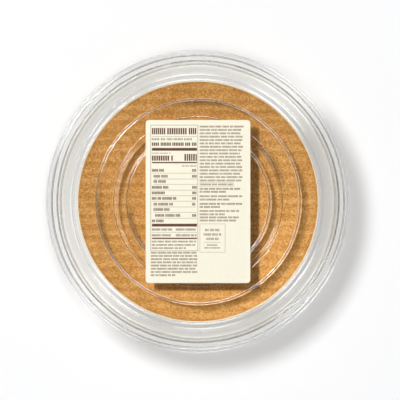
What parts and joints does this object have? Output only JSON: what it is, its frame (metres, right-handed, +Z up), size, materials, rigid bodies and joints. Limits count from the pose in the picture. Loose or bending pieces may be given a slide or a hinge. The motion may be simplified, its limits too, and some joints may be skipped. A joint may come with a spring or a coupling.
{
  "type": "round cake in a shut clear plastic pack, underside up",
  "caption": "Shut round clear pack with an iced layer cake on a corrugated board, lying underside up so that the ringed base and its paper label show.",
  "frame": {"origin": "on the floor under the middle of the pack, where the dome's flat top rests", "axes": "+Z up, out of the pack's underside; +Y towards the top edge of the label; +X to the right as the label is read"},
  "size_m": [0.2268, 0.2268, 0.1054],
  "materials": {
    "clear_base": "clear thermoformed plastic, glossy",
    "clear_dome": "clear thermoformed plastic, glossy",
    "kraft_board": "plain brown kraft with faint flute bands",
    "label_paper": "smooth cream paper, satin",
    "label_ink": "flat dark brown ink",
    "cream_icing": "soft cream icing, spread by hand",
    "red_crumb": "moist dark red cake crumbs, matt"
  },
  "bodies": {
    "root": {"base_tray": "clear_base", "dome_lid": "clear_dome", "cake_board": "kraft_board", "label": "label_paper", "cake": "cream_icing"}
  },
  "joints": []
}
